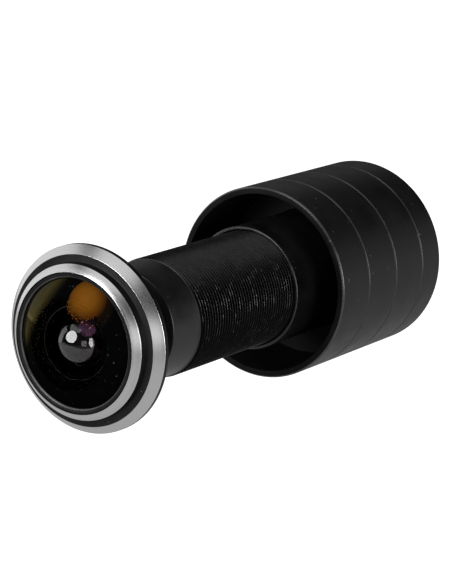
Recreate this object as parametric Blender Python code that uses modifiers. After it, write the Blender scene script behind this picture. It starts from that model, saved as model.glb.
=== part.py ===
"""Door viewer camera: a wide-angle lens head on a threaded barrel, clamped in a door by a screwed cup.

Every turned piece is drawn as a profile of (radius, forward) points in millimetres and revolved about the
viewer's axis. Forward is towards the outside of the door. Forward 0 is the back face of the lens head's flange,
which rests on the outside of the door, and that point on the axis is the origin. In the scene forward is -Y and
up is +Z. Three empties on the axis carry the pieces: viewer_body stays in the door, rear_carrier slides along the
axis without turning, and clamp_cup turns on it and travels half a millimetre a turn.
"""

import math

import bmesh
import bpy

MM = 0.001
CIRCLE_STEPS = 40
INNER_STEPS = 20
CURVE_POINTS = 6
MERGE = 1e-6
FORWARD_TO_SCENE = (math.pi / 2, 0.0, 0.0)

# Lens head
FLANGE_RADIUS = 10.6
FLANGE_RIM = 0.7
OUTER_BAND_INNER = (9.62, 1.62)
INNER_BAND_OUTER = (8.71, 2.45)
INNER_BAND_INNER = (7.92, 3.13)
STEP_FLOOR = (8.80, 1.66)
NECK_RADIUS = 5.0
SPIGOT_END = -14.0
HEAD_BORE = 4.28
LENS_SEAT = 0.75

# Dome lens and what holds it
DOME_RADIUS = 7.45
DOME_EDGE = 2.70
DOME_APEX = 5.0
DOME_BACK = 1.5
BOWL_RADIUS = 3.7
BOWL_APEX = 4.0
SEAL_RING = (6.9, 1.12)
SEAL_THICKNESS = 0.33

# Barrel, M14 x 0.5
THREAD_RADIUS = 7.0
THREAD_PITCH = 0.5
BARREL_FRONT = -6.8
THREAD_START = -11.2
BARREL_END = -45.0
MODULE_BORE = 6.1

# Clamp cup
CUP_RADIUS = 11.8
CUP_BORE = 10.9
CUP_RIM = -33.9
CUP_FLOOR = -44.4
CUP_FLOOR_BACK = -46.0
CUP_END = -57.4
GRIP_GROOVES = (-39.96, -46.44, -52.9)
GROOVE_HALF_WIDTH = 0.16
GROOVE_DEPTH = 0.18
BUSH_FRONT = -30.4
BUSH_RADIUS = 7.5
BUSH_BORE = 7.1

# Rear cover and main board
COVER_RADIUS = 11.05
COVER_FRONT = -54.5
COVER_BACK = -56.1
BOARD_RADIUS = 9.9
BOARD_FRONT = -51.0
BOARD_BACK = -51.8
SCREW_CIRCLE = 8.1
SCREW_ANGLES = (90, 210, 330)
SCREW_HOLE = 0.65
CABLE_HOLE = 1.9


def clear_scene():
    for old in list(bpy.data.objects):
        bpy.data.objects.remove(old, do_unlink=True)


def new_collection(name):
    collection = bpy.data.collections.new(name)
    bpy.context.scene.collection.children.link(collection)
    return collection


def new_material(name, colour, roughness, metallic=0.0, transmission=0.0):
    material = bpy.data.materials.new(name)
    material.use_nodes = True
    surface = material.node_tree.nodes["Principled BSDF"]
    surface.inputs["Base Color"].default_value = (*colour, 1.0)
    surface.inputs["Roughness"].default_value = roughness
    surface.inputs["Metallic"].default_value = metallic
    surface.inputs["Transmission Weight"].default_value = transmission
    return material


def new_carrier(name):
    """An empty on the viewer's axis whose own Z points forward."""
    carrier = bpy.data.objects.new(name + "_carrier", None)
    carrier.rotation_euler = FORWARD_TO_SCENE
    PIECES.objects.link(carrier)
    return carrier


def add_piece(name, mesh, carrier, material, place=(0.0, 0.0)):
    """Links a mesh drawn in metres under its carrier, place being millimetres across the axis."""
    piece = bpy.data.objects.new(name, mesh)
    piece.parent = carrier
    piece.location = (place[0] * MM, place[1] * MM, 0.0)
    mesh.materials.append(material)
    PIECES.objects.link(piece)
    return piece


def turned(name, profile, carrier, material, steps=CIRCLE_STEPS, closed=True, place=(0.0, 0.0)):
    """Revolves (radius, forward) points. They run outwards along the front, back down the outer side, and in again."""
    mesh = bpy.data.meshes.new(name)
    points = [(radius * MM, 0.0, forward * MM) for radius, forward in profile]
    edges = [(i, i + 1) for i in range(len(points) - 1)]
    if closed:
        edges.append((len(points) - 1, 0))
    mesh.from_pydata(points, edges, [])
    piece = add_piece(name, mesh, carrier, material, place)
    screw = piece.modifiers.new("Turn", "SCREW")
    screw.steps = screw.render_steps = steps
    screw.use_merge_vertices = True
    screw.merge_threshold = MERGE
    return piece


def cap_curve(edge_radius, edge_forward, apex_forward, count=CURVE_POINTS):
    """Points of a spherical surface from its apex on the axis out to its edge."""
    sag = apex_forward - edge_forward
    sphere = (edge_radius**2 + sag**2) / (2 * abs(sag))
    centre = apex_forward - math.copysign(sphere, sag)
    widest = math.asin(edge_radius / sphere)
    angles = [widest * i / count for i in range(count + 1)]
    return [(sphere * math.sin(a), centre + math.copysign(sphere * math.cos(a), sag)) for a in angles]


def lens(name, radius, front, back, material):
    """A lens of (edge, apex) forward places for its front and back surfaces."""
    profile = cap_curve(radius, *front) + cap_curve(radius, *back)[::-1]
    return turned(name, profile, VIEWER_BODY, material, INNER_STEPS, closed=False)


def tube(name, outer, inner, front, back, carrier, material, steps=CIRCLE_STEPS, place=(0.0, 0.0)):
    profile = [(inner, front), (outer, front), (outer, back), (inner, back)]
    return turned(name, profile, carrier, material, steps, place=place)


def block(name, size, centre, carrier, material):
    """A plain block, size and centre in millimetres as (across, up, forward)."""
    mesh = bpy.data.meshes.new(name)
    shape = bmesh.new()
    bmesh.ops.create_cube(shape, size=1.0)
    bmesh.ops.scale(shape, vec=[side * MM for side in size], verts=shape.verts)
    bmesh.ops.translate(shape, vec=[at * MM for at in centre], verts=shape.verts)
    shape.to_mesh(mesh)
    shape.free()
    return add_piece(name, mesh, carrier, material)


def round_cutter(name, radius, front, back, place, steps=12):
    mesh = bpy.data.meshes.new(name)
    shape = bmesh.new()
    bmesh.ops.create_cone(
        shape, cap_ends=True, segments=steps, radius1=radius * MM, radius2=radius * MM, depth=(front - back) * MM
    )
    bmesh.ops.translate(shape, vec=(0, 0, (front + back) / 2 * MM), verts=shape.verts)
    shape.to_mesh(mesh)
    shape.free()
    return add_cutter(name, mesh, place)


def block_cutter(name, size, place, forward, turn):
    mesh = bpy.data.meshes.new(name)
    shape = bmesh.new()
    bmesh.ops.create_cube(shape, size=1.0)
    bmesh.ops.scale(shape, vec=[side * MM for side in size], verts=shape.verts)
    bmesh.ops.translate(shape, vec=(0, 0, forward * MM), verts=shape.verts)
    shape.to_mesh(mesh)
    shape.free()
    cutter = add_cutter(name, mesh, place)
    cutter.rotation_euler = (0, 0, turn)
    return cutter


def add_cutter(name, mesh, place):
    cutter = bpy.data.objects.new(name, mesh)
    cutter.parent = VIEWER_BODY
    cutter.location = (place[0] * MM, place[1] * MM, 0.0)
    cutter.hide_render = True
    cutter.display_type = "WIRE"
    CUTTERS.objects.link(cutter)
    return cutter


def cut(piece, cutter):
    boolean = piece.modifiers.new("Cut " + cutter.name, "BOOLEAN")
    boolean.operation = "DIFFERENCE"
    boolean.object = cutter


def on_circle(radius, degrees):
    angle = math.radians(degrees)
    return radius * math.cos(angle), radius * math.sin(angle)


def make_lens_head():
    """Flange with two bright-cut bands round a black step, and the hollow neck that screws into the barrel."""
    profile = [
        (7.88, 3.11),
        INNER_BAND_INNER,
        INNER_BAND_OUTER,
        STEP_FLOOR,
        OUTER_BAND_INNER,
        (FLANGE_RADIUS, FLANGE_RIM),
        (FLANGE_RADIUS, 0.12),
        (FLANGE_RADIUS - 0.15, 0.0),
        (NECK_RADIUS, 0.0),
        (NECK_RADIUS, SPIGOT_END),
        (HEAD_BORE, SPIGOT_END),
        (HEAD_BORE, 0.15),
        (6.3, LENS_SEAT),
        (7.52, LENS_SEAT),
        (7.52, 1.80),
        (7.88, 1.80),
    ]
    turned("lens_head", profile, VIEWER_BODY, BLACK_ANODISED)


def make_dome_lens():
    """Thick front element: a shallow dome outside and a deep bowl behind."""
    outside = cap_curve(DOME_RADIUS, DOME_EDGE, DOME_APEX)
    bowl = cap_curve(BOWL_RADIUS, DOME_BACK, BOWL_APEX)
    profile = outside + [(DOME_RADIUS, DOME_BACK)] + bowl[::-1]
    turned("dome_lens", profile, VIEWER_BODY, CLEAR_GLASS, closed=False)


def make_dome_seal():
    """Rubber ring squeezed under the dome lens's edge."""
    angles = [math.radians(90 - 360 * i / 10) for i in range(10)]
    profile = [
        (SEAL_RING[0] + SEAL_THICKNESS * math.cos(a), SEAL_RING[1] + SEAL_THICKNESS * math.sin(a)) for a in angles
    ]
    turned("dome_seal", profile, VIEWER_BODY, RUBBER)


def make_retaining_ring():
    """Black ring whose lip holds the dome lens."""
    profile = [(7.30, 2.90), (7.42, 3.02), (7.80, 3.10), (7.80, 1.92), (7.58, 1.92), (7.58, 2.80), (7.30, 2.84)]
    turned("retaining_ring", profile, VIEWER_BODY, BLACK_PAINT)


def make_lens_cell():
    """Black tube inside the neck that carries the inner elements."""
    profile = [
        (3.4, 1.3),
        (3.5, 1.4),
        (4.05, 1.4),
        (4.2, 1.25),
        (4.2, -12.0),
        (2.9, -12.0),
        (2.9, 0.08),
        (3.4, 0.08),
    ]
    turned("lens_cell", profile, VIEWER_BODY, BLACK_ANODISED)
    second = cap_curve(3.3, 0.76, 1.1) + [(3.3, 0.1)] + cap_curve(2.2, 0.1, 0.3, 4)[::-1]
    turned("lens_element_2", second, VIEWER_BODY, COATED_GLASS, closed=False)
    tube("front_spacer", 2.8, 1.9, 0.0, -2.3, VIEWER_BODY, BLACK_ANODISED, INNER_STEPS)
    lens("lens_element_3", 2.8, (-2.6, -2.2), (-3.6, -4.0), COATED_GLASS)
    stop = [(1.6, -4.1), (2.8, -4.1), (2.8, -4.8), (0.9, -4.8)]
    turned("aperture_stop", stop, VIEWER_BODY, BLACK_PAINT, INNER_STEPS)
    lens("lens_element_4", 2.8, (-5.3, -4.95), (-6.4, -6.8), COATED_GLASS)
    lens("lens_element_5", 2.8, (-6.5, -6.9), (-8.2, -8.5), COATED_GLASS)
    tube("cell_lock_ring", 2.8, 2.0, -8.6, -9.6, VIEWER_BODY, BLACK_ANODISED, INNER_STEPS)


def make_barrel():
    """Threaded tube with a plain tapered nose. Its thread is drawn at its outer radius."""
    profile = [
        (5.08, BARREL_FRONT),
        (6.2, BARREL_FRONT),
        (6.35, BARREL_FRONT - 0.15),
        (6.8, THREAD_START),
        (THREAD_RADIUS, THREAD_START - 0.15),
        (THREAD_RADIUS, BARREL_END + 0.3),
        (THREAD_RADIUS - 0.3, BARREL_END),
        (MODULE_BORE, BARREL_END),
        (MODULE_BORE, -14.4),
        (5.08, -14.4),
    ]
    turned("barrel", profile, VIEWER_BODY, BLACK_ANODISED)


def make_sensor_module():
    """Filter, image sensor and its board, held against the barrel's shoulder by a lock ring."""
    holder = [(3.0, -14.6), (6.0, -14.6), (6.0, -18.6), (4.6, -18.6), (4.6, -16.2), (3.4, -16.2), (3.4, -15.0)]
    turned("sensor_holder", holder + [(3.0, -15.0)], VIEWER_BODY, BLACK_PLASTIC, INNER_STEPS)
    infrared = [(0.0, -15.1), (3.2, -15.1), (3.2, -15.5), (0.0, -15.5)]
    turned("infrared_filter", infrared, VIEWER_BODY, FILTER_GLASS, INNER_STEPS, closed=False)
    block("image_sensor", (5.6, 5.2, 1.4), (0, 0, -17.85), VIEWER_BODY, CERAMIC)
    block("sensor_cover_glass", (4.4, 3.8, 0.35), (0, 0, -16.92), VIEWER_BODY, CLEAR_GLASS)
    disc = [(0.0, -18.7), (5.9, -18.7), (5.9, -19.5), (0.0, -19.5)]
    turned("sensor_board", disc, VIEWER_BODY, BOARD_GREEN, INNER_STEPS, closed=False)
    block("sensor_processor", (4.0, 4.0, 0.9), (0, 1.6, -20.0), VIEWER_BODY, CHIP_BLACK)
    block("sensor_connector", (5.0, 1.6, 1.5), (0, -2.6, -20.3), VIEWER_BODY, CONNECTOR_WHITE)
    tube("module_lock_ring", 6.0, 5.0, -19.65, -21.2, VIEWER_BODY, BRASS, INNER_STEPS)


def make_clamp_cup():
    """Hollow cup that bears on the inside of the door, its floor carrying the threaded bush."""
    profile = [(10.95, CUP_RIM), (CUP_RADIUS - 0.2, CUP_RIM), (CUP_RADIUS, CUP_RIM - 0.2)]
    for groove in GRIP_GROOVES:
        profile += [
            (CUP_RADIUS, groove + GROOVE_HALF_WIDTH),
            (CUP_RADIUS - GROOVE_DEPTH, groove),
            (CUP_RADIUS, groove - GROOVE_HALF_WIDTH),
        ]
    profile += [
        (CUP_RADIUS, CUP_END + 0.2),
        (CUP_RADIUS - 0.2, CUP_END),
        (11.2, CUP_END),
        (11.2, -56.95),
        (11.45, -56.95),
        (11.45, -56.2),
        (11.2, -56.2),
        (11.2, -54.3),
        (10.6, -54.3),
        (10.6, CUP_FLOOR_BACK),
        (7.6, CUP_FLOOR_BACK),
        (7.6, CUP_FLOOR),
        (CUP_BORE - 0.2, CUP_FLOOR),
        (CUP_BORE, CUP_FLOOR + 0.2),
    ]
    turned("clamp_cup", profile, CLAMP_CUP, BLACK_ANODISED)


def make_threaded_bush():
    """Thin sleeve, threaded inside, pressed through the cup's floor from behind."""
    profile = [
        (BUSH_BORE + 0.1, BUSH_FRONT),
        (BUSH_RADIUS - 0.1, BUSH_FRONT),
        (BUSH_RADIUS, BUSH_FRONT - 0.1),
        (BUSH_RADIUS, CUP_FLOOR_BACK - 0.1),
        (8.9, CUP_FLOOR_BACK - 0.1),
        (8.9, CUP_FLOOR_BACK - 1.0),
        (BUSH_BORE, CUP_FLOOR_BACK - 1.0),
        (BUSH_BORE, BUSH_FRONT - 0.1),
    ]
    turned("threaded_bush", profile, CLAMP_CUP, BLACK_ANODISED)


def make_snap_ring():
    """Spring-steel ring in the cup's last groove, open at the bottom between two eared ends."""
    gap = math.radians(14)
    arc_count = 36
    start, sweep = -math.pi / 2 + gap, 2 * math.pi - 2 * gap
    angles = [start + sweep * i / arc_count for i in range(arc_count + 1)]
    outer = [(11.36 * math.cos(a), 11.36 * math.sin(a)) for a in angles]
    ear = math.radians(9)
    inner_radius = [9.6 if min(a - angles[0], angles[-1] - a) < ear else 10.55 for a in reversed(angles)]
    inner = [(r * math.cos(a), r * math.sin(a)) for r, a in zip(inner_radius, reversed(angles))]
    curve = bpy.data.curves.new("snap_ring_outline", "CURVE")
    curve.dimensions = "2D"
    curve.fill_mode = "BOTH"
    curve.extrude = 0.25 * MM
    spline = curve.splines.new("POLY")
    spline.points.add(len(outer + inner) - 1)
    for point, (across, up) in zip(spline.points, outer + inner):
        point.co = (across * MM, up * MM, 0.0, 1.0)
    spline.use_cyclic_u = True
    ring = bpy.data.objects.new("snap_ring", curve)
    ring.parent = CLAMP_CUP
    ring.location = (0.0, 0.0, -56.58 * MM)
    curve.materials.append(SPRING_STEEL)
    PIECES.objects.link(ring)


def make_rear_cover():
    """Disc that closes the cup and lets it turn round the cable."""
    profile = [
        (2.9, COVER_FRONT),
        (COVER_RADIUS, COVER_FRONT),
        (COVER_RADIUS, -54.85),
        (10.5, -54.85),
        (10.5, -55.55),
        (COVER_RADIUS, -55.55),
        (COVER_RADIUS, COVER_BACK),
        (2.9, COVER_BACK),
    ]
    cover = turned("rear_cover", profile, REAR_CARRIER, BLACK_ANODISED)
    for number, degrees in enumerate(SCREW_ANGLES, 1):
        place = on_circle(SCREW_CIRCLE, degrees)
        cut(cover, round_cutter(f"cover_hole_{number}", SCREW_HOLE, -54.0, -56.6, place))
    angles = [math.radians(90 - 360 * i / 8) for i in range(8)]
    seal = [(10.83 + 0.28 * math.cos(a), -55.2 + 0.28 * math.sin(a)) for a in angles]
    turned("cover_seal", seal, REAR_CARRIER, RUBBER)


def make_cable_grommet():
    """Rubber bush in the cover's middle that the cable leaves through."""
    profile = [
        (CABLE_HOLE, -53.4),
        (3.5, -53.4),
        (3.8, -53.7),
        (3.8, COVER_FRONT + 0.05),
        (2.82, COVER_FRONT + 0.05),
        (2.82, COVER_BACK - 0.05),
        (3.8, COVER_BACK - 0.05),
        (3.8, -56.7),
        (3.2, -57.2),
        (CABLE_HOLE, -57.2),
    ]
    turned("cable_grommet", profile, REAR_CARRIER, RUBBER, INNER_STEPS)


def make_main_board():
    """Round video board with its parts, behind the cup's floor."""
    disc = [(1.6, BOARD_FRONT), (BOARD_RADIUS, BOARD_FRONT), (BOARD_RADIUS, BOARD_BACK), (1.6, BOARD_BACK)]
    board = turned("main_board", disc, REAR_CARRIER, BOARD_GREEN)
    for number, degrees in enumerate(SCREW_ANGLES, 1):
        place = on_circle(SCREW_CIRCLE, degrees)
        cut(board, round_cutter(f"board_hole_{number}", SCREW_HOLE, -50.5, -52.5, place))
    block("video_processor", (4.0, 4.0, 0.9), (-3.6, -2.0, BOARD_FRONT + 0.5), REAR_CARRIER, CHIP_BLACK)
    block("voltage_regulator", (2.4, 2.8, 0.8), (3.9, -3.0, BOARD_FRONT + 0.45), REAR_CARRIER, CHIP_BLACK)
    block("timing_crystal", (3.2, 1.5, 0.7), (3.7, 1.6, BOARD_FRONT + 0.4), REAR_CARRIER, SPRING_STEEL)
    block("board_connector", (5.0, 1.8, 1.8), (-1.2, 4.2, BOARD_FRONT + 0.95), REAR_CARRIER, CONNECTOR_WHITE)
    for number, degrees in enumerate((150, 30), 1):
        can = [(0.0, BOARD_BACK - 0.05), (1.2, BOARD_BACK - 0.05), (1.2, -53.9), (0.0, -53.9)]
        name = f"capacitor_{number}"
        turned(name, can, REAR_CARRIER, CAN_ALUMINIUM, 16, closed=False, place=on_circle(6.6, degrees))


def make_board_screws():
    """Three slotted screws through cover, spacer and board, each with its nut."""
    for number, degrees in enumerate(SCREW_ANGLES, 1):
        place = on_circle(SCREW_CIRCLE, degrees)
        shape = [
            (0.0, -50.15),
            (0.5, -50.15),
            (0.5, COVER_BACK - 0.05),
            (1.05, COVER_BACK - 0.05),
            (1.05, -56.55),
            (0.75, -56.75),
            (0.0, -56.75),
        ]
        name = f"cover_screw_{number}"
        screw = turned(name, shape, REAR_CARRIER, SPRING_STEEL, 16, closed=False, place=place)
        slot_size = (0.3, 2.6, 0.6)
        slot = block_cutter(f"slot_{number}", slot_size, place, -56.8, math.radians(degrees + 35))
        cut(screw, slot)
        spacer = (1.25, 0.6, BOARD_BACK - 0.05, COVER_FRONT + 0.05)
        tube(f"board_spacer_{number}", *spacer, REAR_CARRIER, BRASS, 16, place)
        nut = (1.2, 0.65, -50.25, BOARD_FRONT + 0.05)
        tube(f"board_nut_{number}", *nut, REAR_CARRIER, BRASS, 6, place)


clear_scene()
PIECES = new_collection("door_viewer")
CUTTERS = new_collection("cutters")

BLACK_ANODISED = new_material("black_anodised", (0.012, 0.012, 0.013), 0.38, 0.6)
BLACK_PAINT = new_material("black_paint", (0.01, 0.01, 0.011), 0.3)
BLACK_PLASTIC = new_material("black_plastic", (0.015, 0.015, 0.015), 0.5)
RUBBER = new_material("rubber", (0.02, 0.02, 0.02), 0.8)
CLEAR_GLASS = new_material("clear_glass", (0.95, 0.96, 0.95), 0.0, transmission=1.0)
COATED_GLASS = new_material("coated_glass", (0.75, 0.7, 0.9), 0.0, transmission=1.0)
FILTER_GLASS = new_material("filter_glass", (0.4, 0.8, 0.75), 0.0, transmission=1.0)
BRASS = new_material("brass", (0.72, 0.5, 0.2), 0.3, 1.0)
SPRING_STEEL = new_material("spring_steel", (0.55, 0.55, 0.56), 0.3, 1.0)
CAN_ALUMINIUM = new_material("can_aluminium", (0.75, 0.75, 0.76), 0.3, 1.0)
BOARD_GREEN = new_material("board_green", (0.02, 0.16, 0.06), 0.4)
CHIP_BLACK = new_material("chip_black", (0.02, 0.02, 0.022), 0.5)
CONNECTOR_WHITE = new_material("connector_white", (0.8, 0.78, 0.7), 0.5)
CERAMIC = new_material("sensor_ceramic", (0.08, 0.07, 0.08), 0.4)

VIEWER_BODY = new_carrier("viewer_body")
REAR_CARRIER = new_carrier("rear")
CLAMP_CUP = new_carrier("cup")

make_lens_head()
make_dome_lens()
make_dome_seal()
make_retaining_ring()
make_lens_cell()
make_barrel()
make_sensor_module()
make_clamp_cup()
make_threaded_bush()
make_snap_ring()
make_rear_cover()
make_cable_grommet()
make_main_board()
make_board_screws()
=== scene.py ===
"""Looks of the door viewer camera: finely turned metal, coated glass and the helical thread.

The lens looks along -Y and up is +Z. Profiles are lists of (radius, y) in millimetres about the Y
axis, with y counted from the flange's back face, which is the origin. A third number in a profile
entry picks the material of the segment that starts there.
"""

import math

import bmesh
import bpy
from mathutils import Matrix, Vector


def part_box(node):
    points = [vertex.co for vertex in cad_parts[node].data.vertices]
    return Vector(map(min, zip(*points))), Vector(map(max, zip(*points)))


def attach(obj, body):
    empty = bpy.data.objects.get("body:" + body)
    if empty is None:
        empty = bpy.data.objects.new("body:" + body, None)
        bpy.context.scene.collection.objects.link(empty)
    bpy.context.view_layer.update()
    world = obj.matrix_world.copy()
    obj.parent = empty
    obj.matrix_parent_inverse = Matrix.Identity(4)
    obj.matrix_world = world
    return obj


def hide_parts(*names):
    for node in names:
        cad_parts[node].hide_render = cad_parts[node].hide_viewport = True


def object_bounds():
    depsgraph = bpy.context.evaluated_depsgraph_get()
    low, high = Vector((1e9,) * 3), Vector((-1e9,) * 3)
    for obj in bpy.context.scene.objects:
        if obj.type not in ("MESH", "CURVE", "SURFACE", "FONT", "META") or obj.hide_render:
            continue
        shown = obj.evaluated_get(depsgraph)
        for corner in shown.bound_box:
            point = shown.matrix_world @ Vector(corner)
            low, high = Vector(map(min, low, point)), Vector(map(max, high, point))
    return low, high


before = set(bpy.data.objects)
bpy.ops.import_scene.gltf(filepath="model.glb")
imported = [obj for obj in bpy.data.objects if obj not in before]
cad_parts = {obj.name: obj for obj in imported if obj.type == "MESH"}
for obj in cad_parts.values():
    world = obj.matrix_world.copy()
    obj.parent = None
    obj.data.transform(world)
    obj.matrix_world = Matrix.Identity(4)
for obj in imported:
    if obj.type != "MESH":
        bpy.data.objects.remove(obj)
cad_low, cad_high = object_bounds()

MM = 0.001
ON_AXIS = 1e-9
SHARP_ANGLE = math.radians(28)
FINE_STEPS = 192
SMALL_STEPS = 96
SCREW_STEPS = 48
DRILL_STEPS = 40

# Eased corners: the least turn, the most of a neighbouring segment, and the points of the arc.
EASED_TURN = math.radians(12)
EASED_SHARE = 0.35
EASED_POINTS = 4

# The thread in millimetres, and its shape over one pitch in shares of its pitch and height.
PITCH = 0.5
THREAD_START = 11.35
THREAD_END = 44.7
THREAD_ROOT = 6.72
THREAD_CREST = 7.0
THREAD_STEPS = 96
THREAD_SHAPE = [
    (0.0, 0.0),
    (0.12, 0.0),
    (0.42, 0.95),
    (0.5, 1.0),
    (0.58, 0.95),
    (0.88, 0.0),
    (1.0, 0.0),
]
RUN_OUT_HEIGHT = 0.25
RUN_OUT_PER_TURN = 1.5

# Millimetres.
CUP_RADIUS = 11.8
GROOVES = (39.96, 46.44, 52.9)
GROOVE_FLOOR = 11.64
SCREW_DEGREES = (90, 210, 330)
SCREW_CIRCLE = 8.1
SCREW_HOLE = 0.65
SCREW_SLOT = (0.3, 0.6, 2.6)
SCREW_SLOT_Y = 56.8
SNAP_SECTION = [(11.3, 56.35), (11.36, 56.41), (11.36, 56.75), (11.3, 56.81)]
SNAP_EAR_INSIDE = 9.6
SNAP_INSIDE = 10.55
SNAP_HOLE_CIRCLE = 10.3
SNAP_HOLE = 0.32
SNAP_STEPS = 150

# Radians.
SNAP_HALF_GAP = math.radians(14)
SNAP_EAR = math.radians(10)
SNAP_EAR_EASING = math.radians(5)

CAMERA_AZIMUTH = 34.2
CAMERA_ELEVATION = 12.7
CAMERA_BACK = 249.8
CAMERA_RIGHT = 15.18
CAMERA_UP = 5.165
CAMERA_LENS = 140.86
CAMERA_AIM = (0.0, -0.0006, 0.0)

GLASS_INDEX = 1.52

# Where the glass shows black as a painted shade for the dark inside of the lens, in millimetres
# from the axis, and over how much it turns black.
BLACKED_FROM = 4.8
EVERYWHERE = -1.0
BLACKED_OVER = 0.6

# The dome's painted reflections, in metres from the centre of their orange spot; under the spot the
# glass shows a painted shade.
PAINTED_REFLECTION_CENTRE = (0.00216, -0.00366, 0.00537)
PAINTED_SHADE_UNDER_SPOT = (0.0020, 0.0027)
SPOT_TO_REST = (0.0024, 0.004)
REST_DIRECTION = (-0.83, 0.0, 0.56)

# How far the two lists of painted reflection colours reach, in millimetres.
SPOT_REACH = 4
REST_REACH = 8

# Where the barrel's thread is rubbed: radii of the rubbed crests, and heights of the band where the
# bare crests show, a painted highlight; in metres.
RUBBED_RADII = (0.006975, 0.0070)
PAINTED_HIGHLIGHT_HEIGHTS = (-0.004, 0.006)
PALE_SPECK = (0.16, 0.16, 0.165)

FLOOR_HALF_SIDE = 1.5
FLOOR_DROP = 0.06
FLOOR_SEEN = 1.2
FLOOR_GLOW = 0.42
FLOOR_FAR_GLOW = 0.03
FLOOR_FADE_DIRECTION = (0.64, -0.77, 0.0)
FLOOR_FADE = (0.17, 0.26)
WORLD_SEEN = 1.0
WORLD_GLOW = 0.04


# Nodes


def node(tree, kind, **settings):
    made = tree.nodes.new(kind)
    for name, value in settings.items():
        setattr(made, name, value)
    return made


def feed(tree, socket, value):
    """Links a socket to another one, or gives it a constant."""
    if isinstance(value, bpy.types.NodeSocket):
        tree.links.new(value, socket)
    else:
        socket.default_value = value


def grey(value):
    return (value, value, value)


def object_point(tree):
    """Where a point of the surface is in its object's frame, in metres."""
    return node(tree, "ShaderNodeTexCoord").outputs["Object"]


def coordinate(tree, axis):
    parts = node(tree, "ShaderNodeSeparateXYZ")
    feed(tree, parts.inputs["Vector"], object_point(tree))
    return parts.outputs[axis]


def measured(tree, operation, other):
    """The object's point taken with another vector, as a distance or a dot product."""
    made = node(tree, "ShaderNodeVectorMath", operation=operation)
    feed(tree, made.inputs[0], object_point(tree))
    feed(tree, made.inputs[1], other)
    return made.outputs["Value"]


def combined(tree, operation, first, second, **settings):
    """Two numbers put together, each of them a socket or a constant."""
    made = node(tree, "ShaderNodeMath", operation=operation, **settings)
    feed(tree, made.inputs[0], first)
    feed(tree, made.inputs[1], second)
    return made.outputs["Value"]


def colour_mix(tree, share, first, second):
    """The first colour turning into the second, each of them a socket or four constants."""
    made = node(tree, "ShaderNodeMix", data_type="RGBA")
    feed(tree, made.inputs["Factor"], share)
    feed(tree, made.inputs["A"], first)
    feed(tree, made.inputs["B"], second)
    return made.outputs["Result"]


def shader_mix(tree, share, first, second):
    made = node(tree, "ShaderNodeMixShader")
    feed(tree, made.inputs["Fac"], share)
    feed(tree, made.inputs[1], first)
    feed(tree, made.inputs[2], second)
    return made.outputs["Shader"]


def diffuse(tree, shade):
    made = node(tree, "ShaderNodeBsdfDiffuse")
    made.inputs["Color"].default_value = (*grey(shade), 1.0)
    return made.outputs["BSDF"]


def noise(tree, scale, detail=4.0, roughness=0.6, stretch=(1.0, 1.0, 1.0)):
    """Noise in object space, its scale in features per metre."""
    mapping = node(tree, "ShaderNodeMapping")
    mapping.inputs["Scale"].default_value = stretch
    feed(tree, mapping.inputs["Vector"], object_point(tree))
    made = node(tree, "ShaderNodeTexNoise")
    made.inputs["Scale"].default_value = scale
    made.inputs["Detail"].default_value = detail
    made.inputs["Roughness"].default_value = roughness
    feed(tree, made.inputs["Vector"], mapping.outputs["Vector"])
    return made.outputs["Fac"]


def ramp(tree, value, stops):
    """A colour by value, from stops of (value, colour)."""
    made = node(tree, "ShaderNodeValToRGB")
    band = made.color_ramp
    while len(band.elements) < len(stops):
        band.elements.new(0.5)
    for element, (place, colour) in zip(band.elements, stops):
        element.position = place
        element.color = (*colour, 1.0)
    feed(tree, made.inputs["Fac"], value)
    return made.outputs["Color"]


def grey_ramp(tree, value, stops):
    """A grey by value, from stops of (value, shade)."""
    return ramp(tree, value, [(place, grey(shade)) for place, shade in stops])


def specks(tree, scale, detail, start, full, most):
    """Small scattered spots: nothing up to start, and most of the shade from full on."""
    return grey_ramp(tree, noise(tree, scale, detail), [(0.0, 0.0), (start, 0.0), (full, most)])


def to_range(tree, value, low, high, from_low=0.3, from_high=0.7):
    made = node(tree, "ShaderNodeMapRange")
    made.inputs["From Min"].default_value = from_low
    made.inputs["From Max"].default_value = from_high
    made.inputs["To Min"].default_value = low
    made.inputs["To Max"].default_value = high
    feed(tree, made.inputs["Value"], value)
    return made.outputs["Result"]


def bump(tree, shader, height, strength, distance):
    made = node(tree, "ShaderNodeBump")
    made.inputs["Strength"].default_value = strength
    made.inputs["Distance"].default_value = distance
    feed(tree, made.inputs["Height"], height)
    feed(tree, shader.inputs["Normal"], made.outputs["Normal"])


def axis_distance(tree):
    """How far a point is from the Y axis, in metres."""
    flat = node(tree, "ShaderNodeVectorMath", operation="MULTIPLY")
    flat.inputs[1].default_value = (1.0, 0.0, 1.0)
    feed(tree, flat.inputs[0], object_point(tree))
    length = node(tree, "ShaderNodeVectorMath", operation="LENGTH")
    feed(tree, length.inputs[0], flat.outputs["Vector"])
    return length.outputs["Value"]


def spot_distance(tree):
    """How far a point is from the centre of the painted orange reflection, in metres."""
    return measured(tree, "DISTANCE", PAINTED_REFLECTION_CENTRE)


def turning_marks(tree, per_metre):
    """Noise by distance from the axis and along it only, as a lathe tool leaves."""
    joined = node(tree, "ShaderNodeCombineXYZ")
    feed(tree, joined.inputs["X"], axis_distance(tree))
    feed(tree, joined.inputs["Y"], coordinate(tree, "Y"))
    made = node(tree, "ShaderNodeTexNoise")
    made.inputs["Scale"].default_value = per_metre
    made.inputs["Detail"].default_value = 3.0
    feed(tree, made.inputs["Vector"], joined.outputs["Vector"])
    return made.outputs["Fac"]


# Materials


def surface(name, colour, roughness, metallic=0.0, **sockets):
    """A Principled material. Extra sockets are named with _ for a space."""
    material = bpy.data.materials.new(name)
    material.use_nodes = True
    shader = material.node_tree.nodes["Principled BSDF"]
    shader.inputs["Base Color"].default_value = (*colour, 1.0)
    shader.inputs["Roughness"].default_value = roughness
    shader.inputs["Metallic"].default_value = metallic
    for socket, value in sockets.items():
        shader.inputs[socket.replace("_", " ")].default_value = value
    return material, material.node_tree, shader


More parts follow.
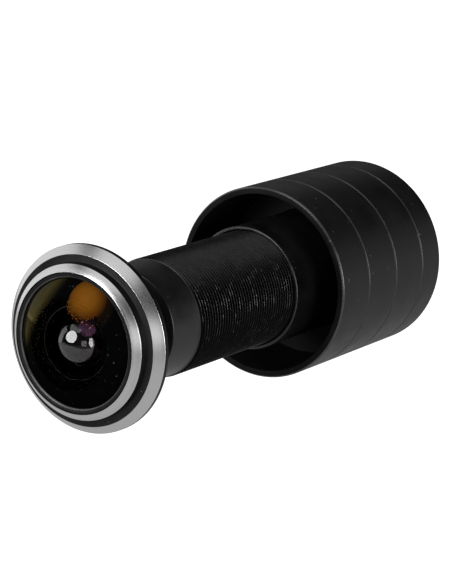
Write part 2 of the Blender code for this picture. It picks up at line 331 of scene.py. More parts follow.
def anodised(name, shade, roughness, warm=0.0, marks=0.0, shine=0.5):
    """Black anodised aluminium: fine blasted grain, faint cloudy sheen and tiny pale specks."""
    colour = (shade * (1 + warm), shade, shade * (1 - warm))
    material, tree, shader = surface(name, colour, roughness, 0.2, Specular_IOR_Level=shine)
    cloud = noise(tree, 260.0, 3.0)
    low = tuple(part * 0.6 for part in colour)
    high = tuple(part * 1.5 for part in colour)
    sheen = ramp(tree, cloud, [(0.3, low), (0.7, high)])
    pale = specks(tree, 2600.0, 1.0, 0.775, 0.80, 1.0)
    feed(tree, shader.inputs["Base Color"], colour_mix(tree, pale, sheen, (*PALE_SPECK, 1.0)))
    gloss = to_range(tree, cloud, roughness - 0.06, roughness + 0.06)
    feed(tree, shader.inputs["Roughness"], gloss)
    grain = noise(tree, 9000.0, 2.0)
    if marks:
        turned_grain = combined(tree, "MULTIPLY", turning_marks(tree, 7000.0), marks)
        grain = combined(tree, "ADD", grain, turned_grain)
    bump(tree, shader, grain, 0.25, 0.00002)
    return material


def threaded_black(name):
    """Glossy black, rubbed through to bare metal in places along the thread's crests; the bare
    crests are kept to a band of heights as a painted highlight.
    """
    material, tree, shader = surface(name, grey(0.008), 0.24, 0.35, Specular_IOR_Level=0.05)
    crest = to_range(tree, axis_distance(tree), 0.0, 1.0, *RUBBED_RADII)
    # Painted highlight: the bare crests are kept mostly to a band of heights where light falls
    # along the thread.
    height = to_range(tree, coordinate(tree, "Z"), 0.0, 1.0, *PAINTED_HIGHLIGHT_HEIGHTS)
    painted_highlight_by_height = [(0.0, 0.2), (0.22, 0.3), (0.42, 1.0), (0.68, 1.0), (0.9, 0.12)]
    crests_in_painted_highlight = combined(tree, "MULTIPLY", crest, grey_ramp(tree, height, painted_highlight_by_height))
    patches = noise(tree, 700.0, 6.0, 0.7)
    rubbed = grey_ramp(tree, patches, [(0.0, 0.05), (0.53, 0.14), (0.66, 1.0)])
    rubbed_and_painted_highlight = combined(tree, "MULTIPLY", crests_in_painted_highlight, rubbed)
    colour = colour_mix(tree, rubbed_and_painted_highlight, (0.003, 0.003, 0.0032, 1.0), (0.42, 0.42, 0.43, 1.0))
    feed(tree, shader.inputs["Base Color"], colour)
    gloss = to_range(tree, noise(tree, 500.0, 3.0), 0.2, 0.32)
    feed(tree, shader.inputs["Roughness"], gloss)
    bump(tree, shader, noise(tree, 5000.0, 3.0), 0.3, 0.00002)
    return material


def bright_cut(name, shade=0.62):
    """Bare aluminium left by a fine facing cut, so that it glints round the circle."""
    material, tree, shader = surface(name, grey(shade), 0.25, 1.0, Anisotropic=0.8)
    marks = turning_marks(tree, 16000.0)
    tint = grey_ramp(tree, marks, [(0.3, shade * 0.88), (0.7, shade * 1.08)])
    feed(tree, shader.inputs["Base Color"], tint)
    feed(tree, shader.inputs["Roughness"], to_range(tree, marks, 0.19, 0.27))
    tangent = node(tree, "ShaderNodeTangent", direction_type="RADIAL", axis="Y")
    feed(tree, shader.inputs["Tangent"], tangent.outputs["Tangent"])
    bump(tree, shader, marks, 0.25, 0.00001)
    return material


def painted_reflection_colour(tree, spot, rest):
    """What the coated lens mirrors, painted by place as painted reflections of the lamps, from two
    lists of (millimetres, colour).

    The orange spot goes by distance from its centre and gives way to the rest over SPOT_TO_REST.
    The rest, olive towards the rim's upper left, goes by how far a point is along REST_DIRECTION.
    """
    distance = spot_distance(tree)
    across = measured(tree, "DOT_PRODUCT", REST_DIRECTION)
    in_spot = to_range(tree, distance, 0.0, 1.0, 0.0, SPOT_REACH * MM)
    in_rest = to_range(tree, across, 0.0, 1.0, 0.0, REST_REACH * MM)
    return colour_mix(
        tree,
        to_range(tree, distance, 0.0, 1.0, *SPOT_TO_REST),
        ramp(tree, in_spot, [(place / SPOT_REACH, colour) for place, colour in spot]),
        ramp(tree, in_rest, [(place / REST_REACH, colour) for place, colour in rest]),
    )


def lens_glass(name, tint, gain=1.0, painted_reflections=None, blacked_from=None):
    """Clear glass that mirrors gain times as much as plain glass, coloured by tint or by coated
    colours that are painted by place as painted reflections of the lamps.

    Further than blacked_from millimetres from the axis, and under the painted orange spot, the
    glass shows plain black instead of what is behind it: a painted shade for the dark inside of the
    lens.
    """
    material = bpy.data.materials.new(name)
    material.use_nodes = True
    tree = material.node_tree
    tree.nodes.remove(tree.nodes["Principled BSDF"])
    refraction = node(tree, "ShaderNodeBsdfRefraction")
    refraction.inputs["IOR"].default_value = GLASS_INDEX
    refraction.inputs["Roughness"].default_value = 0.0
    inner = refraction.outputs["BSDF"]
    # Painted shade: black stands in for the dark inside of the lens.
    if blacked_from is not None:
        start, end = blacked_from * MM, (blacked_from + BLACKED_OVER) * MM
        blacked = to_range(tree, axis_distance(tree), 0.0, 1.0, start, end)
        if painted_reflections:
            painted_shade_under_spot = to_range(tree, spot_distance(tree), 0.9, 0.0, *PAINTED_SHADE_UNDER_SPOT)
            blacked = combined(tree, "MAXIMUM", blacked, painted_shade_under_spot)
        inner = shader_mix(tree, blacked, inner, diffuse(tree, 0.001))
    mirror = node(tree, "ShaderNodeBsdfAnisotropic")
    mirror.inputs["Roughness"].default_value = 0.0
    # The mirror's colour: a plain tint, or colours painted by place as painted reflections.
    colour = painted_reflection_colour(tree, *painted_reflections) if painted_reflections else (*tint, 1.0)
    feed(tree, mirror.inputs["Color"], colour)
    fresnel = node(tree, "ShaderNodeFresnel")
    fresnel.inputs["IOR"].default_value = GLASS_INDEX
    share = combined(tree, "MULTIPLY", fresnel.outputs["Fac"], gain, use_clamp=True)
    glass = shader_mix(tree, share, inner, mirror.outputs["BSDF"])
    dust = specks(tree, 3500.0, 0.0, 0.81, 0.84, 0.5)
    dusty = shader_mix(tree, dust, glass, diffuse(tree, 0.05))
    feed(tree, tree.nodes["Material Output"].inputs["Surface"], dusty)
    return material


def flat_black(name):
    """Matt black paint that keeps stray light down inside the lens."""
    material, tree, shader = surface(name, grey(0.003), 0.85, 0.0, Specular_IOR_Level=0.0)
    mottle = noise(tree, 3000.0, 4.0)
    tint = grey_ramp(tree, mottle, [(0.3, 0.001), (0.75, 0.003)])
    feed(tree, shader.inputs["Base Color"], tint)
    bump(tree, shader, mottle, 0.3, 0.00002)
    return material


def rubber(name, shade=0.018):
    material, tree, shader = surface(name, grey(shade), 0.62)
    bloom = noise(tree, 700.0, 5.0)
    tint = grey_ramp(tree, bloom, [(0.3, shade * 0.8), (0.75, shade * 1.9)])
    feed(tree, shader.inputs["Base Color"], tint)
    feed(tree, shader.inputs["Roughness"], to_range(tree, bloom, 0.55, 0.72))
    bump(tree, shader, noise(tree, 6000.0, 3.0), 0.3, 0.00003)
    return material


def worked_metal(name, colour, roughness=0.28):
    material, tree, shader = surface(name, colour, roughness, 1.0)
    wear = noise(tree, 1500.0, 5.0)
    low = tuple(part * 0.75 for part in colour)
    feed(tree, shader.inputs["Base Color"], ramp(tree, wear, [(0.3, low), (0.7, colour)]))
    gloss = to_range(tree, wear, roughness - 0.06, roughness + 0.12)
    feed(tree, shader.inputs["Roughness"], gloss)
    bump(tree, shader, noise(tree, 5000.0, 3.0, stretch=(1.0, 6.0, 1.0)), 0.2, 0.00001)
    return material


def moulded(name, colour, roughness=0.5):
    material, tree, shader = surface(name, colour, roughness)
    mottle = noise(tree, 900.0, 4.0)
    low = tuple(part * 0.82 for part in colour)
    feed(tree, shader.inputs["Base Color"], ramp(tree, mottle, [(0.3, low), (0.7, colour)]))
    gloss = to_range(tree, mottle, roughness - 0.08, roughness + 0.1)
    feed(tree, shader.inputs["Roughness"], gloss)
    bump(tree, shader, noise(tree, 8000.0, 2.0), 0.2, 0.00002)
    return material


def solder_mask(name):
    """Green board lacquer over faint copper tracks."""
    material, tree, shader = surface(name, (0.01, 0.12, 0.045), 0.3, 0.0, Coat_Weight=0.4)
    bricks = node(tree, "ShaderNodeTexBrick")
    bricks.inputs["Scale"].default_value = 900.0
    bricks.inputs["Mortar Size"].default_value = 0.06
    bricks.inputs["Color1"].default_value = (0.008, 0.10, 0.04, 1.0)
    bricks.inputs["Color2"].default_value = (0.012, 0.14, 0.05, 1.0)
    bricks.inputs["Mortar"].default_value = (0.03, 0.26, 0.09, 1.0)
    turn = node(tree, "ShaderNodeMapping")
    turn.inputs["Rotation"].default_value = (math.pi / 2, 0.0, 0.4)
    feed(tree, turn.inputs["Vector"], object_point(tree))
    feed(tree, bricks.inputs["Vector"], turn.outputs["Vector"])
    feed(tree, shader.inputs["Base Color"], bricks.outputs["Color"])
    bump(tree, shader, bricks.outputs["Fac"], 0.2, 0.00003)
    return material


# Geometry


def linked(name, data):
    """A new object in the scene."""
    made = bpy.data.objects.new(name, data)
    bpy.context.scene.collection.objects.link(made)
    return made


def cap(edge_radius, edge_y, apex_y, count=24):
    """Points of a spherical surface from its apex on the axis out to its edge."""
    sag = edge_y - apex_y
    sphere = (edge_radius**2 + sag**2) / (2 * abs(sag))
    side = math.copysign(1.0, sag)
    widest = math.asin(edge_radius / sphere)
    angles = [widest * i / count for i in range(count + 1)]
    return [(sphere * math.sin(a), apex_y + side * sphere * (1 - math.cos(a))) for a in angles]


def eased(profile, radius, closed=True):
    """Replaces each corner of the profile by a short arc.

    Returns the points and, for each of them, the number of the segment that starts there.
    """
    count = len(profile)
    points, segments = [], []
    for i, (r, y, *_material) in enumerate(profile):
        here = Vector((r, y))
        before = Vector(profile[i - 1][:2]) - here
        after = Vector(profile[(i + 1) % count][:2]) - here
        is_end = not closed and i in (0, count - 1)
        turn = 0.0 if is_end else math.pi - before.angle(after)
        if is_end or turn < EASED_TURN:
            points.append((r, y))
            segments.append(i)
            continue
        reach = min(radius, before.length * EASED_SHARE, after.length * EASED_SHARE)
        start, end = here + before.normalized() * reach, here + after.normalized() * reach
        for step in range(EASED_POINTS):
            t = step / (EASED_POINTS - 1)
            at = start * (1 - t) ** 2 + here * 2 * t * (1 - t) + end * t**2
            points.append((at.x, at.y))
            segments.append((i - 1) % count if step < EASED_POINTS // 2 else i)
    return points, segments


def finish_mesh(name, vertices, faces, indices, materials, body, lens=False):
    """A piece on its body. Lens surfaces keep plain smooth normals, so that they mirror cleanly."""
    mesh = bpy.data.meshes.new(name)
    mesh.from_pydata(vertices, [], faces)
    for material in materials:
        mesh.materials.append(material)
    mesh.polygons.foreach_set("material_index", indices)
    shape = bmesh.new()
    shape.from_mesh(mesh)
    bmesh.ops.recalc_face_normals(shape, faces=shape.faces)
    shape.to_mesh(mesh)
    shape.free()
    mesh.shade_smooth()
    mesh.set_sharp_from_angle(angle=SHARP_ANGLE)
    made = linked(name, mesh)
    if not lens:
        normals = made.modifiers.new("Normals", "WEIGHTED_NORMAL")
        normals.keep_sharp = True
        normals.weight = 100
    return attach(made, body)


def on_circle(r, y, angle, centre=(0.0, 0.0)):
    """A vertex in metres, from millimetres and an angle about an axis along Y through centre."""
    x, z = r * math.cos(angle) + centre[0], r * math.sin(angle) + centre[1]
    return (x * MM, y * MM, z * MM)


def circle(r, y, steps, centre=(0.0, 0.0)):
    """Vertices round an axis along Y through centre, or a single one on that axis."""
    if r < ON_AXIS:
        return [on_circle(0.0, y, 0.0, centre)]
    return [on_circle(r, y, 2 * math.pi * step / steps, centre) for step in range(steps)]


def turned(
    name,
    profile,
    materials,
    body,
    ease=0.05,
    steps=FINE_STEPS,
    closed=True,
    centre=(0.0, 0.0),
    lens=False,
):
    """Revolves a profile about an axis along Y through centre."""
    points, segments = eased(profile, ease, closed)
    numbers = [entry[2] if len(entry) > 2 else 0 for entry in profile]
    vertices, starts = [], []
    for r, y in points:
        starts.append(len(vertices))
        vertices += circle(r, y, steps, centre)
    faces, indices = [], []
    for i in range(len(points) if closed else len(points) - 1):
        j = (i + 1) % len(points)
        on_axis = points[i][0] < ON_AXIS, points[j][0] < ON_AXIS
        if all(on_axis):
            continue
        for step in range(steps):
            after = (step + 1) % steps
            a, b = starts[i], starts[j]
            if on_axis[0]:
                faces.append((a, b + after, b + step))
            elif on_axis[1]:
                faces.append((a + step, a + after, b))
            else:
                faces.append((a + step, a + after, b + after, b + step))
            indices.append(numbers[segments[i]])
    return finish_mesh(name, vertices, faces, indices, materials, body, lens)


def subtract(piece, shape, place):
    """Takes a closed shape, moved to place, out of a piece. The shape is freed."""
    mesh = bpy.data.meshes.new("cutter")
    shape.to_mesh(mesh)
    shape.free()
    cutter = linked("cutter", mesh)
    cutter.matrix_world = place
    boolean = piece.modifiers.new("Cut", "BOOLEAN")
    boolean.operation = "DIFFERENCE"
    boolean.object = cutter
    bpy.context.view_layer.update()
    evaluated = piece.evaluated_get(bpy.context.evaluated_depsgraph_get())
    result = bpy.data.meshes.new_from_object(evaluated)
    piece.modifiers.remove(boolean)
    piece.data = result
    bpy.data.objects.remove(cutter, do_unlink=True)


def cut_slot(piece, size, centre, turn):
    """Cuts a block, in millimetres and turned about Y, out of a piece."""
    shape = bmesh.new()
    bmesh.ops.create_cube(shape, size=1.0)
    bmesh.ops.scale(shape, vec=[side * MM for side in size], verts=shape.verts)
    place = Matrix.Translation(Vector(centre) * MM) @ Matrix.Rotation(turn, 4, "Y")
    subtract(piece, shape, place)
    piece.data.set_sharp_from_angle(angle=SHARP_ANGLE)


def drill(piece, holes, radius, front, back):
    """Drills round holes along Y through a piece, each of them at an (x, z) in millimetres."""
    for x, z in holes:
        shape = bmesh.new()
        bmesh.ops.create_cone(
            shape,
            cap_ends=True,
            segments=DRILL_STEPS,
            radius1=radius * MM,
            radius2=radius * MM,
            depth=(back - front) * MM,
        )
        bmesh.ops.rotate(shape, verts=shape.verts, matrix=Matrix.Rotation(math.pi / 2, 3, "X"))
        middle = Vector((x, (front + back) / 2, z)) * MM
        bmesh.ops.translate(shape, verts=shape.verts, vec=middle)
        subtract(piece, shape, Matrix.Identity(4))
    piece.data.set_sharp_from_angle(angle=SHARP_ANGLE)


def thread_radius(share):
    """The thread's radius at a share of a pitch from one root to the next."""
    height = THREAD_CREST - THREAD_ROOT
    for (a, low), (b, high) in zip(THREAD_SHAPE, THREAD_SHAPE[1:]):
        if share <= b:
            return THREAD_ROOT + height * (low + (high - low) * (share - a) / (b - a))
    return THREAD_ROOT


def make_barrel(body):
    """Barrel with a true helix, its plain tapered nose in front and its bore open behind."""
    shares = [share for share, _height in THREAD_SHAPE[:-1]]
    per_turn = len(shares)
    turns = int((THREAD_END - THREAD_START) / PITCH) - 1
    front = [
        (5.08, 6.8),
        (6.15, 6.8),
        (6.28, 6.86),
        (6.34, 6.97),
        (6.83, 11.12),
        (6.9, 11.18),
        (6.9, 11.24),
        (THREAD_ROOT, 11.3),
    ]
    back = [
        (THREAD_ROOT, THREAD_END + 0.05),
        (6.6, 44.98),
        (6.5, 45.0),
        (6.1, 45.0),
        (6.1, 14.4),
        (5.08, 14.4),
    ]
    vertices, faces, indices = [], [], []

    def add(face, number=0):
        faces.append(face)
        indices.append(number)

    def ring(r, y):
        vertices.extend(circle(r, y, THREAD_STEPS))
        return len(vertices) - THREAD_STEPS

    def join(a, b, number=0):
        for step in range(THREAD_STEPS):
            after = (step + 1) % THREAD_STEPS
            add((a + step, a + after, b + after, b + step), number)

    front_rings = [ring(r, y) for r, y in front]
    for a, b in zip(front_rings, front_rings[1:]):
        join(a, b, 1)

    grid = len(vertices)
    count = turns * per_turn + 1
    for row in range(count):
        share = shares[row % per_turn]
        for step in range(THREAD_STEPS):
            along = row // per_turn + share + step / THREAD_STEPS
            from_end = min(along, turns + 1 - along)
            fade = min(1.0, RUN_OUT_HEIGHT + RUN_OUT_PER_TURN * from_end)
            r = THREAD_ROOT + (thread_radius(share) - THREAD_ROOT) * fade
            angle = 2 * math.pi * step / THREAD_STEPS
            vertices.append(on_circle(r, THREAD_START + along * PITCH, angle))

    def at(row, step):
        return grid + row * THREAD_STEPS + step

    last = THREAD_STEPS - 1
    for row in range(count - 1):
        for step in range(last):
            add((at(row, step), at(row, step + 1), at(row + 1, step + 1), at(row + 1, step)))
    # The end of each turn meets the start of the next, which is per_turn rows further on.
    for row in range(count - 1 - per_turn):
        next_row = row + per_turn
        add((at(row, last), at(next_row, 0), at(next_row + 1, 0), at(row + 1, last)))

    a = front_rings[-1]
    for step in range(last):
        add((a + step, a + step + 1, at(0, step + 1), at(0, step)))
    add((a + last, a, at(per_turn, 0), at(0, last)))
    add((a, *[at(row, 0) for row in range(per_turn + 1)]))

    back_rings = [ring(r, y) for r, y in back]
    b, final = back_rings[0], count - 1
    for step in range(last):
        add((at(final, step), at(final, step + 1), b + step + 1, b + step))
    add((at(final - per_turn, last), at(final, 0), b, b + last))
    add((*[at(row, last) for row in range(final - per_turn, count)], b + last))
    for a, b in zip(back_rings, back_rings[1:]):
        join(a, b)
    join(back_rings[-1], front_rings[0])
    materials = [BARREL_BLACK, NOSE_BLACK]
    barrel = finish_mesh("barrel_threaded", vertices, faces, indices, materials, body)
    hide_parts("barrel")
    return barrel


def make_head(body):
    """Lens head: rim, outer bright band, black step, inner bright band, recess wall and neck."""
    profile = [
        (7.88, -3.11, 0),
        (7.92, -3.13, 1),
        (8.71, -2.45, 0),
        (8.80, -1.66, 0),
        (9.62, -1.62, 1),
        (10.6, -0.70, 0),
        (10.6, -0.12, 0),
        (10.45, 0.0, 0),
        (5.0, 0.0, 0),
        (5.0, 14.0, 0),
        (4.28, 14.0, 2),
        (4.28, -0.15, 2),
        (6.3, -0.75, 2),
        (7.52, -0.75, 2),
        (7.52, -1.80, 2),
        (7.88, -1.80, 2),
    ]
    head = turned("lens_head_turned", profile, [HEAD_BLACK, BRIGHT, FLAT_BLACK], body, 0.04)
    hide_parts("lens_head")


def make_retaining_ring(body):
    profile = [
        (7.30, -2.90, 1),
        (7.42, -3.02, 0),
        (7.80, -3.10, 0),
        (7.80, -1.92, 0),
        (7.58, -1.92, 0),
        (7.58, -2.80, 0),
        (7.30, -2.84, 1),
    ]
    ring = turned("retaining_ring_turned", profile, [RING_BLACK, RING_LIP_PAINTED_HIGHLIGHT], body, 0.03)
    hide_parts("retaining_ring")


def make_glass(body):
    """Dome lens and the second element behind it, each a closed solid of glass."""
    outside = [(*at, 0) for at in cap(7.45, -2.70, -5.0, 40)]
    outside[-1] = (*outside[-1][:2], 1)
    bowl = [(*at, 2) for at in cap(3.7, -1.5, -4.0, 40)[::-1]]
    profile = outside + [(7.45, -1.5, 1), (3.8, -1.5, 3)] + bowl
    materials = [DOME_GLASS, FLAT_BLACK, BOWL_GLASS, GROUND_EDGE]
    dome = turned("dome_lens_polished", profile, materials, body, 0.02, closed=False, lens=True)
    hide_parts("dome_lens")
    front = [(*at, 0) for at in cap(3.3, -0.76, -1.1, 32)]
    front[-1] = (*front[-1][:2], 1)
    behind = [(*at, 1) for at in cap(2.2, -0.1, -0.3, 16)[::-1]]
    profile = front + [(3.3, -0.1, 1)] + behind
    materials = [ELEMENT_FRONT, ELEMENT_GLASS]
    name = "lens_element_2_polished"
    second = turned(name, profile, materials, body, 0.02, closed=False, lens=True)
    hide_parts("lens_element_2")


def make_cell(body):
    profile = [
        (3.4, -1.30, 1),
        (3.5, -1.40, 0),
        (4.05, -1.40, 0),
        (4.2, -1.25, 0),
        (4.2, 12.0, 0),
        (2.9, 12.0, 0),
        (2.9, -0.08, 0),
        (3.4, -0.08, 0),
    ]
    cell = turned("lens_cell_turned", profile, [FLAT_BLACK, CELL_RIM], body, 0.03)
    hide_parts("lens_cell")
    profile = [
        (1.9, 0.05, 1),
        (2.0, 0.0, 0),
        (2.8, 0.0, 0),
        (2.8, 2.3, 0),
        (2.1, 2.3, 0),
        (1.9, 0.4, 0),
    ]
    spacer = turned("front_spacer_turned", profile, [FLAT_BLACK, CELL_RIM], body, 0.02)
    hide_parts("front_spacer")


def make_cup(body):
    """Clamp cup with its thin rim, three grip grooves, floor and rear bore."""
    profile = [(10.95, 33.9, 4), (11.6, 33.9, 1), (CUP_RADIUS, 34.1, 0)]
    for groove in GROOVES:
        profile += [
            (CUP_RADIUS, groove - 0.16, 2),
            (GROOVE_FLOOR, groove - 0.03, 2),
            (GROOVE_FLOOR, groove + 0.03, 2),
            (CUP_RADIUS, groove + 0.16, 0),
        ]
    profile += [
        (CUP_RADIUS, 57.2, 0),
        (11.6, 57.4, 0),
        (11.2, 57.4, 0),
        (11.2, 56.95, 0),
        (11.45, 56.95, 0),
        (11.45, 56.2, 0),
        (11.2, 56.2, 0),
        (11.2, 54.3, 0),
        (10.6, 54.3, 0),
        (10.6, 46.0, 0),
        (7.6, 46.0, 0),
        (7.6, 44.4, 3),
        (10.7, 44.4, 3),
        (10.9, 44.2, 3),
    ]
    materials = [CUP_BLACK, CUP_RIM_PAINTED_HIGHLIGHT, GROOVE, CUP_INSIDE, CUP_FACE_PAINTED_SHADE]
    cup = turned("clamp_cup_turned", profile, materials, body, 0.06)
    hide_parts("clamp_cup")


def make_bush(body):
    profile = [
        (7.16, 30.4, 1),
        (7.4, 30.4, 1),
        (7.5, 30.5, 0),
        (7.5, 46.1, 0),
        (8.9, 46.1, 0),
        (8.9, 47.0, 0),
        (7.1, 47.0, 0),
        (7.1, 30.5, 0),
    ]
    bush = turned("threaded_bush_turned", profile, [BUSH_BLACK, BUSH_EDGE], body, 0.03)
    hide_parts("threaded_bush")


def make_rear(body):
    """Rear cover, cable grommet and the cover's slotted screws."""
    low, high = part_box("rear_cover")
    front, back = low.y / MM, high.y / MM
    profile = [
        (2.9, front),
        (11.05, front),
        (11.05, front + 0.35),
        (10.5, front + 0.35),
        (10.5, front + 1.05),
        (11.05, front + 1.05),
        (11.05, back - 0.05),
        (10.95, back),
        (9.7, back),
        (9.62, back - 0.08),
        (9.5, back),
        (2.9, back),
    ]
    cover = turned("rear_cover_turned", profile, [COVER_BLACK], body, 0.05)
    holes = []
    for degrees in SCREW_DEGREES:
        angle = math.radians(degrees)
        holes.append((SCREW_CIRCLE * math.cos(angle), SCREW_CIRCLE * math.sin(angle)))
    drill(cover, holes, SCREW_HOLE, front - 0.5, back + 0.5)
    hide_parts("rear_cover")
    grommet_profile = [
        (1.9, 53.5),
        (2.0, 53.4),
        (3.5, 53.4),
        (3.8, 53.7),
        (3.8, 54.45),
        (2.82, 54.45),
        (2.82, 56.15),
        (3.8, 56.15),
        (3.8, 56.6),
        (3.55, 56.95),
        (3.1, 57.2),
        (2.15, 57.2),
        (1.9, 57.05),
    ]
    grommet = turned("cable_grommet_moulded", grommet_profile, [RUBBER], body, 0.12, SMALL_STEPS)
    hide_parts("cable_grommet")
    screw_profile = [
        (0.0, 50.15),
        (0.5, 50.15),
        (0.5, 56.15),
        (1.05, 56.15),
        (1.05, 56.5),
        (0.85, 56.7),
        (0.4, 56.75),
        (0.0, 56.75),
    ]
    for number, (degrees, place) in enumerate(zip(SCREW_DEGREES, holes), 1):
        name = f"cover_screw_{number}_slotted"
        screw = turned(
            name, screw_profile, [STEEL], body, 0.05, SCREW_STEPS, closed=False, centre=place
        )
        slot_centre = (place[0], SCREW_SLOT_Y, place[1])
        cut_slot(screw, SCREW_SLOT, slot_centre, -math.radians(degrees + 35))
        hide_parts(f"cover_screw_{number}")


def make_snap_ring(body):
    """Flat spring ring with two eared ends at the bottom, each pierced for the pliers."""
    first = -math.pi / 2 + SNAP_HALF_GAP
    span = 2 * math.pi - 2 * SNAP_HALF_GAP
    angles = [first + span * i / SNAP_STEPS for i in range(SNAP_STEPS + 1)]
    front, back = SNAP_SECTION[0][1], SNAP_SECTION[-1][1]
    shape = bmesh.new()
    rings = []
    for angle in angles:
        from_end = min(angle - angles[0], angles[-1] - angle)
        t = max(0.0, min(1.0, (from_end - SNAP_EAR) / SNAP_EAR_EASING))
        inner = SNAP_EAR_INSIDE + (SNAP_INSIDE - SNAP_EAR_INSIDE) * t * t * (3 - 2 * t)
        section = [(inner, front), *SNAP_SECTION, (inner, back)]
        rings.append([shape.verts.new(on_circle(r, y, angle)) for r, y in section])
    for a, b in zip(rings, rings[1:]):
        for i in range(len(a)):
            j = (i + 1) % len(a)
            shape.faces.new((a[i], a[j], b[j], b[i]))
    shape.faces.new(rings[0])
    shape.faces.new(rings[-1])
    bmesh.ops.recalc_face_normals(shape, faces=shape.faces)
    mesh = bpy.data.meshes.new("snap_ring_sprung")
    shape.to_mesh(mesh)
    shape.free()
    mesh.materials.append(STEEL)
    mesh.shade_smooth()
    mesh.set_sharp_from_angle(angle=SHARP_ANGLE)
    ring = linked("snap_ring_sprung", mesh)
    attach(ring, body)
    holes = []
    for angle in (angles[0] + SNAP_EAR * 0.5, angles[-1] - SNAP_EAR * 0.5):
        holes.append((SNAP_HOLE_CIRCLE * math.cos(angle), SNAP_HOLE_CIRCLE * math.sin(angle)))
    drill(ring, holes, SNAP_HOLE, 56.0, 57.2)
    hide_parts("snap_ring")


def dress(names, material):
    """Gives CAD pieces that need no new shape a material."""
    for name in names:
        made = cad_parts[name]
        made.data.materials.clear()
        made.data.materials.append(material)


HEAD_BLACK = anodised("head_black", 0.004, 0.36, shine=0.2)
BRIGHT = bright_cut("bright_cut")
RING_BLACK = anodised("ring_black", 0.004, 0.33, shine=0.2)
FLAT_BLACK = flat_black("flat_black")
BARREL_BLACK = threaded_black("barrel_black")
CUP_BLACK = anodised("cup_black", 0.005, 0.42, warm=0.03, shine=0.33)
# Painted highlight: the rim's outer chamfer is lighter and glossier than the cup.
CUP_RIM_PAINTED_HIGHLIGHT = anodised("cup_rim", 0.02, 0.3, shine=0.9)
# Painted shade: the rim's front face is a darker, duller copy of the cup's black.
CUP_FACE_PAINTED_SHADE = anodised("cup_face", 0.003, 0.45, shine=0.1)
CUP_INSIDE = anodised("cup_inside", 0.006, 0.55, shine=0.15)
NOSE_BLACK = anodised("nose_black", 0.008, 0.36, shine=0.65)
GROOVE = anodised("groove_black", 0.03, 0.3)
BUSH_BLACK = anodised("bush_black", 0.004, 0.42, shine=0.15)
BUSH_EDGE = worked_metal("bush_edge", (0.06, 0.06, 0.06), 0.35)
COVER_BLACK = anodised("cover_black", 0.016, 0.36, marks=1.0)
VIOLET = (0.14, 0.06, 0.12)

# The dome's coated reflections as the photo shows them, painted by place: an orange spot, a painted
# reflection of the front lamp, and olive towards the rim's upper left, a painted reflection of the
# left lamp.
PAINTED_ORANGE_REFLECTION = [
    (0.0, (0.55, 0.20, 0.02)),
    (1.2, (0.42, 0.15, 0.01)),
    (2.1, (0.17, 0.055, 0.004)),
    (2.6, (0.02, 0.007, 0.001)),
    (4.0, (0.006, 0.002, 0.001)),
]
PAINTED_OLIVE_REFLECTION = [
    (1.5, (0.006, 0.005, 0.003)),
    (4.4, (0.02, 0.018, 0.008)),
    (5.0, (0.28, 0.23, 0.08)),
    (5.6, (0.62, 0.50, 0.15)),
    (6.4, (0.50, 0.43, 0.22)),
]
DOME_GLASS = lens_glass(
    "dome_glass", grey(1.0), painted_reflections=(PAINTED_ORANGE_REFLECTION, PAINTED_OLIVE_REFLECTION), blacked_from=BLACKED_FROM
)
BOWL_GLASS = lens_glass("bowl_glass", grey(1.0), gain=1.9)
# The second element shows black all over instead of what is behind it: a painted shade.
ELEMENT_FRONT = lens_glass("element_front", VIOLET, blacked_from=EVERYWHERE)
ELEMENT_GLASS = lens_glass("element_glass", grey(0.03))
GROUND_EDGE = anodised("ground_edge", 0.004, 0.5, shine=0.1)
CELL_RIM = anodised("cell_rim", 0.004, 0.4, shine=0.15)
# Painted highlight: the retaining ring's lip is much lighter than its black, drawing a thin bright
# line.
RING_LIP_PAINTED_HIGHLIGHT = anodised("ring_lip", 0.06, 0.25)
INNER_GLASS = lens_glass("inner_glass", (0.03, 0.01, 0.03))
FILTER = lens_glass("filter_glass", (0.05, 0.2, 0.2))
RUBBER = rubber("rubber_black")
STEEL = worked_metal("spring_steel_bright", (0.5, 0.5, 0.51), 0.26)
BRASS = worked_metal("turned_brass", (0.75, 0.5, 0.2), 0.25)
CAN = worked_metal("drawn_can", (0.75, 0.75, 0.76), 0.3)
BOARD = solder_mask("board_green")
CHIP = moulded("chip_black", (0.02, 0.02, 0.022))
WHITE = moulded("connector_white", (0.72, 0.7, 0.6), 0.45)
CERAMIC = moulded("sensor_ceramic", (0.07, 0.06, 0.07), 0.35)
INNER_BLACK = anodised("inner_black", 0.012, 0.45)

make_head("viewer_body")
make_retaining_ring("viewer_body")
make_glass("viewer_body")
make_cell("viewer_body")
make_barrel("viewer_body")
make_cup("clamp_cup")
make_bush("clamp_cup")
make_snap_ring("clamp_cup")
make_rear("rear_carrier")

dress(["aperture_stop", "cell_lock_ring", "sensor_holder"], INNER_BLACK)
dress(["lens_element_3", "lens_element_4", "lens_element_5", "sensor_cover_glass"], INNER_GLASS)
dress(["infrared_filter"], FILTER)
dress(["dome_seal", "cover_seal"], RUBBER)
dress(["sensor_board", "main_board"], BOARD)
dress(["sensor_processor", "video_processor", "voltage_regulator"], CHIP)
dress(["sensor_connector", "board_connector"], WHITE)
dress(["image_sensor"], CERAMIC)
dress(["module_lock_ring"], BRASS)
dress([f"board_{part}_{i}" for part in ("nut", "spacer") for i in (1, 2, 3)], BRASS)
dress(["capacitor_1", "capacitor_2", "timing_crystal"], CAN)


# Floor, light and camera


def seen_by_camera(tree, when_not, when_seen):
    """One strength for what the camera sees, and another for the light that is given."""
    strength = node(tree, "ShaderNodeMapRange")
    feed(tree, strength.inputs["To Min"], when_not)
    feed(tree, strength.inputs["To Max"], when_seen)
    path = node(tree, "ShaderNodeLightPath")
    feed(tree, strength.inputs["Value"], path.outputs["Is Camera Ray"])
    return strength.outputs["Result"]


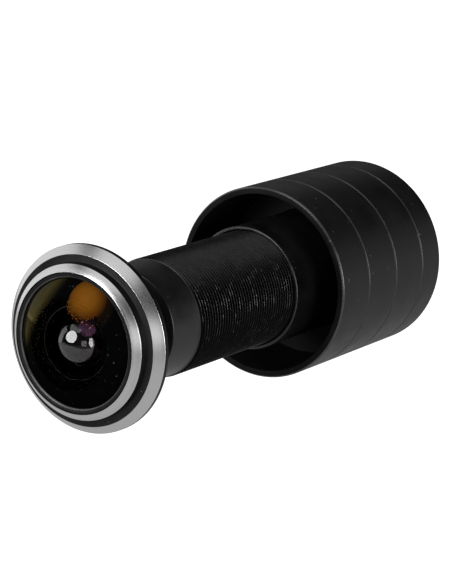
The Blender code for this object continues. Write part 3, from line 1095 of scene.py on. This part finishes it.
def direction(azimuth, elevation):
    """Away from the object, by an azimuth that is 0 in front of the lens and 90 on +X."""
    a, e = math.radians(azimuth), math.radians(elevation)
    return Vector((math.sin(a) * math.cos(e), -math.cos(a) * math.cos(e), math.sin(e)))


def make_floor():
    """Pale floor that the camera sees evenly, with a glow that fades towards one side."""
    mesh = bpy.data.meshes.new("floor")
    side = FLOOR_HALF_SIDE
    corners = [(-side, -side, 0), (side, -side, 0), (side, side, 0), (-side, side, 0)]
    mesh.from_pydata(corners, [], [(0, 1, 2, 3)])
    floor = linked("floor", mesh)
    floor.location.z = cad_low.z - FLOOR_DROP
    white = (1.0, 1.0, 1.0, 1.0)
    material, tree, shader = surface("floor_pale", grey(0.1), 0.9, Emission_Color=white)
    along = measured(tree, "DOT_PRODUCT", FLOOR_FADE_DIRECTION)
    glow = to_range(tree, along, FLOOR_GLOW, FLOOR_FAR_GLOW, *FLOOR_FADE)
    feed(tree, shader.inputs["Emission Strength"], seen_by_camera(tree, glow, FLOOR_SEEN))
    mesh.materials.append(material)


def soft_light(name, azimuth, elevation, distance, size, radiance, is_round=False):
    """A soft box aimed at the origin."""
    away = direction(azimuth, elevation)
    light = bpy.data.lights.new(name, "AREA")
    light.shape = "DISK" if is_round else "RECTANGLE"
    light.size, light.size_y = size
    area = size[0] * size[1] * (math.pi / 4 if is_round else 1.0)
    light.energy = radiance * math.pi * area
    made = linked(name, light)
    made.location = away * distance
    made.rotation_euler = (-away).to_track_quat("-Z", "Y").to_euler()


def make_world():
    world = bpy.data.worlds.new("studio")
    bpy.context.scene.world = world
    world.use_nodes = True
    tree = world.node_tree
    back = tree.nodes["Background"]
    back.inputs["Color"].default_value = (1.0, 1.0, 1.0, 1.0)
    feed(tree, back.inputs["Strength"], seen_by_camera(tree, WORLD_GLOW, WORLD_SEEN))


def make_camera():
    """Camera fitted to the photo, with the object off the middle of its view."""
    a = math.radians(CAMERA_AZIMUTH)
    right = Vector((math.cos(a), math.sin(a), 0.0))
    back = direction(CAMERA_AZIMUTH, CAMERA_ELEVATION)
    up = back.cross(right)
    camera = bpy.data.cameras.new("camera")
    camera.lens = CAMERA_LENS
    camera.sensor_width = 36.0
    camera.clip_start, camera.clip_end = 0.01, 10.0
    made = linked("camera", camera)
    turn = Matrix((right, up, back)).transposed()
    made.rotation_mode = "QUATERNION"
    made.rotation_quaternion = turn.to_quaternion()
    shift = right * CAMERA_RIGHT + up * CAMERA_UP + back * CAMERA_BACK
    made.location = Vector(CAMERA_AIM) + shift * MM
    bpy.context.scene.camera = made


make_floor()
make_world()
soft_light("right", 46, 3, 0.40, (0.16, 0.15), 1.2)
soft_light("far_right", 86, 5, 0.40, (0.24, 0.26), 6.0, is_round=True)
soft_light("overhead", -2, 67, 0.36, (0.29, 0.26), 0.9)
soft_light("left", -87, 22.5, 0.36, (0.43, 0.37), 0.95)
soft_light("front", -13, 25.5, 0.40, (0.36, 0.36), 8.0, is_round=True)
soft_light("behind", 148, 6, 0.50, (0.24, 0.20), 0.4)
soft_light("behind_left", -150, 22, 0.50, (0.26, 0.20), 0.15)
make_camera()
bpy.context.scene.view_settings.view_transform = "Standard"
